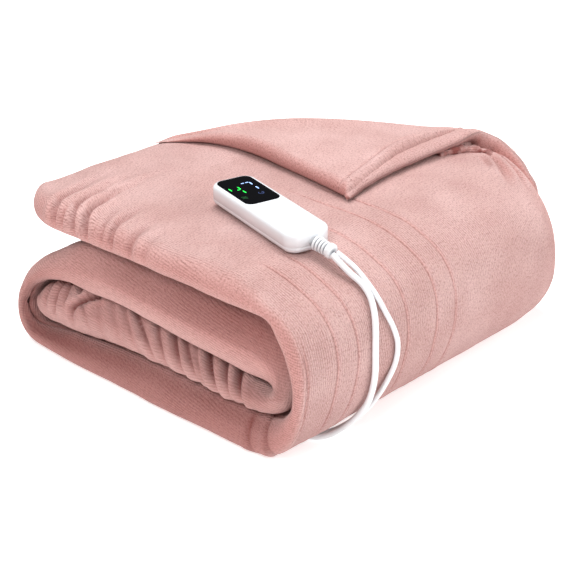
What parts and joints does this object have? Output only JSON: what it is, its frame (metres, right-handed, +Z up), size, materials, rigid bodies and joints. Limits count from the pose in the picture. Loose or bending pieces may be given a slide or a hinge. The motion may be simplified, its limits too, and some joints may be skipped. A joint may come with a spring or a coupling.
{
  "type": "electric heated blanket",
  "caption": "Heated throw blanket folded and rolled into a low packet, one corner turned back, with a hand controller on top and its mains lead coiled behind.",
  "frame": {"origin": "on the flat underside, under the middle of the packet", "axes": "+X along the packet's width, -Y the rounded front, +Z up"},
  "size_m": [0.4388, 0.5155, 0.192],
  "materials": {
    "cloth": "soft short-pile fleece",
    "white_plastic": "gloss",
    "display_black": "gloss",
    "white_cord": "satin",
    "tie_black": "matt",
    "blade_metal": "nickel plated"
  },
  "bodies": {
    "root": {"blanket": "cloth", "handset_body": "white_plastic", "handset_screen": "display_black", "handset_strain_relief": "white_plastic", "mains_lead": "white_cord", "mains_lead_coil": "white_cord", "mains_lead_tail": "white_cord", "coil_tie": "tie_black", "mains_plug": "white_plastic", "plug_blade_left": "blade_metal", "plug_blade_right": "blade_metal", "blanket_lead": "white_cord", "lead_connector": "white_plastic", "blanket_socket": "white_plastic"}
  },
  "joints": []
}
